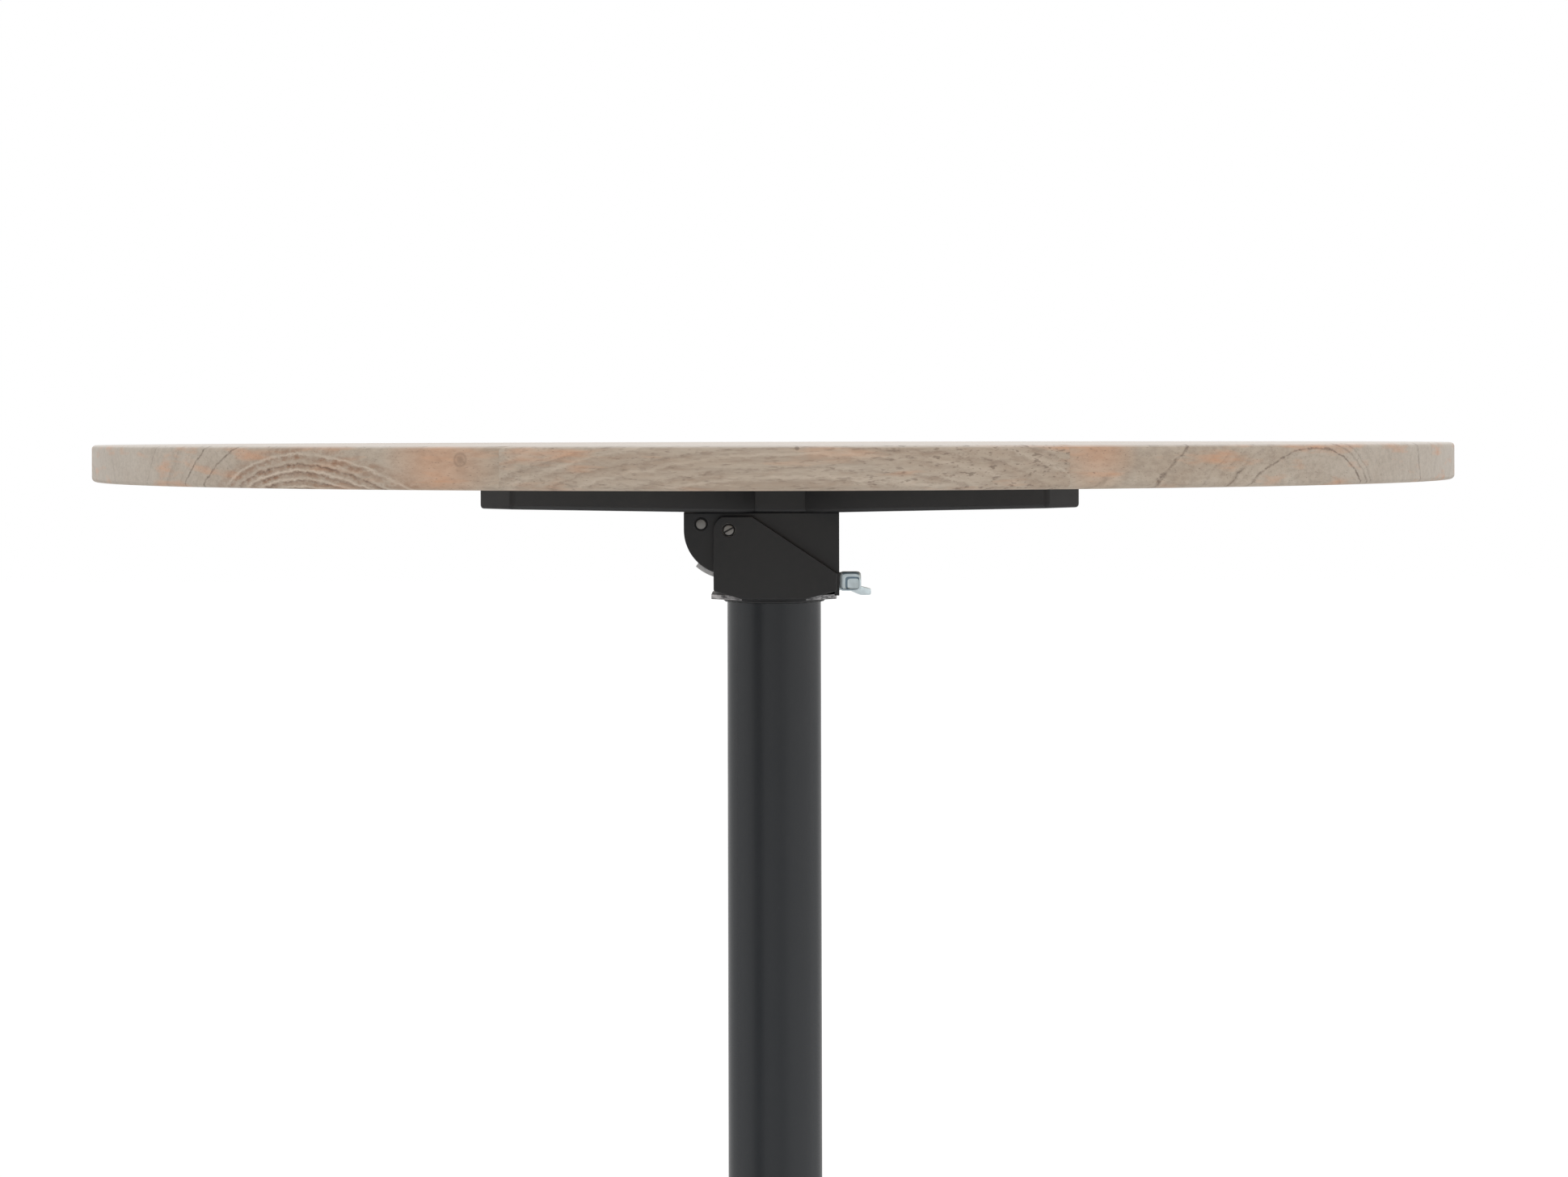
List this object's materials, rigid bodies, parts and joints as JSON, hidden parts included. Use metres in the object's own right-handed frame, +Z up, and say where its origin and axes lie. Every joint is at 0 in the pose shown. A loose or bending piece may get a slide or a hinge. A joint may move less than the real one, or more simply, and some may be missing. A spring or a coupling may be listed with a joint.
{
  "type": "round folding table",
  "caption": "Round wooden pedestal table whose top folds upright on a pinned steel tilt head, locked by a wing screw.",
  "frame": {"origin": "on the floor, on the column's axis", "axes": "+Z up; the tilt axis runs along Y; +X towards the wing screw, the side that lifts when the top folds"},
  "size_m": [0.85, 0.85, 0.75],
  "materials": {
    "oiled_wood": "planed and oiled grey-brown wood",
    "black_coat": "satin black powder coat",
    "charcoal_coat": "satin charcoal powder coat",
    "steel_pin": "turned steel, dull",
    "zinc": "bright zinc plating",
    "nylon": "natural nylon",
    "black_plastic": "moulded black plastic"
  },
  "bodies": {
    "pedestal": {"pivot_pin": "steel_pin", "pivot_clips": "steel_pin", "cheek_front": "black_coat", "cheek_rear": "black_coat", "head_plate": "black_coat", "screw_plate": "black_coat", "weld_nut": "steel_pin", "stop_plate": "black_coat", "column_tube": "charcoal_coat", "head_weld": "charcoal_coat", "column_plug": "steel_pin", "column_bolt": "steel_pin", "column_washer": "steel_pin", "base_socket": "charcoal_coat", "socket_plate": "charcoal_coat", "column_collar": "charcoal_coat", "base_arm_1": "charcoal_coat", "base_arm_2": "charcoal_coat", "base_arm_3": "charcoal_coat", "base_arm_4": "charcoal_coat", "glide_nuts": "steel_pin"},
    "folding_top": {"plank_1": "oiled_wood", "plank_2": "oiled_wood", "plank_3": "oiled_wood", "plank_4": "oiled_wood", "plank_5": "oiled_wood", "plank_6": "oiled_wood", "cross_hub": "black_coat", "cross_arm_1": "black_coat", "cross_arm_2": "black_coat", "cross_arm_3": "black_coat", "cross_arm_4": "black_coat", "top_bolts": "steel_pin", "bolt_sleeves": "steel_pin", "top_inserts": "steel_pin", "upper_yoke": "black_coat", "end_plate": "black_coat", "clamp_drum": "black_coat", "stop_pin": "steel_pin", "pivot_bushes": "nylon", "yoke_bolts": "steel_pin", "yoke_nuts": "steel_pin"},
    "clamp_block": {"clamp_shoe": "steel_pin"},
    "wing_screw": {"wing_screw": "zinc"},
    "glide_pad_1": {"glide_pad_1": "black_plastic"},
    "glide_stem_1": {"glide_stem_1": "zinc"},
    "glide_pad_2": {"glide_pad_2": "black_plastic"},
    "glide_stem_2": {"glide_stem_2": "zinc"},
    "glide_pad_3": {"glide_pad_3": "black_plastic"},
    "glide_stem_3": {"glide_stem_3": "zinc"},
    "glide_pad_4": {"glide_pad_4": "black_plastic"},
    "glide_stem_4": {"glide_stem_4": "zinc"}
  },
  "joints": [
    {"name": "top_tilt", "type": "hinge", "parent": "pedestal", "child": "folding_top", "pos_m": [-0.0284, 0, 0.6955], "axis": [0, -1, 0], "range_deg": [0, 90]},
    {"name": "clamp_slide", "type": "slide", "parent": "pedestal", "child": "clamp_block", "axis": [1, 0, 0], "range_m": [0, 0.005]},
    {"name": "wing_screw_turn", "type": "hinge", "parent": "clamp_block", "child": "wing_screw", "pos_m": [0.05, 0, 0.6611], "axis": [1, 0, 0], "range_deg": [0, 1440]},
    {"name": "glide_1_slide", "type": "slide", "parent": "pedestal", "child": "glide_pad_1", "axis": [0, 0, -1], "range_m": [0, 0.008]},
    {"name": "glide_1_turn", "type": "hinge", "parent": "glide_pad_1", "child": "glide_stem_1", "pos_m": [0.20153, 0.20153, 0.02], "axis": [0, 0, -1], "range_deg": [0, 1728]},
    {"name": "glide_2_slide", "type": "slide", "parent": "pedestal", "child": "glide_pad_2", "axis": [0, 0, -1], "range_m": [0, 0.008]},
    {"name": "glide_2_turn", "type": "hinge", "parent": "glide_pad_2", "child": "glide_stem_2", "pos_m": [-0.20153, 0.20153, 0.02], "axis": [0, 0, -1], "range_deg": [0, 1728]},
    {"name": "glide_3_slide", "type": "slide", "parent": "pedestal", "child": "glide_pad_3", "axis": [0, 0, -1], "range_m": [0, 0.008]},
    {"name": "glide_3_turn", "type": "hinge", "parent": "glide_pad_3", "child": "glide_stem_3", "pos_m": [-0.20153, -0.20153, 0.02], "axis": [0, 0, -1], "range_deg": [0, 1728]},
    {"name": "glide_4_slide", "type": "slide", "parent": "pedestal", "child": "glide_pad_4", "axis": [0, 0, -1], "range_m": [0, 0.008]},
    {"name": "glide_4_turn", "type": "hinge", "parent": "glide_pad_4", "child": "glide_stem_4", "pos_m": [0.20153, -0.20153, 0.02], "axis": [0, 0, -1], "range_deg": [0, 1728]}
  ],
  "couplings": [
    {"joint": "clamp_slide", "follows": "wing_screw_turn", "m_per_rad": 0.00019894},
    {"joint": "glide_1_slide", "follows": "glide_1_turn", "m_per_rad": 0.00019894},
    {"joint": "glide_2_slide", "follows": "glide_2_turn", "m_per_rad": 0.00019894},
    {"joint": "glide_3_slide", "follows": "glide_3_turn", "m_per_rad": 0.00019894},
    {"joint": "glide_4_slide", "follows": "glide_4_turn", "m_per_rad": 0.00019894}
  ]
}
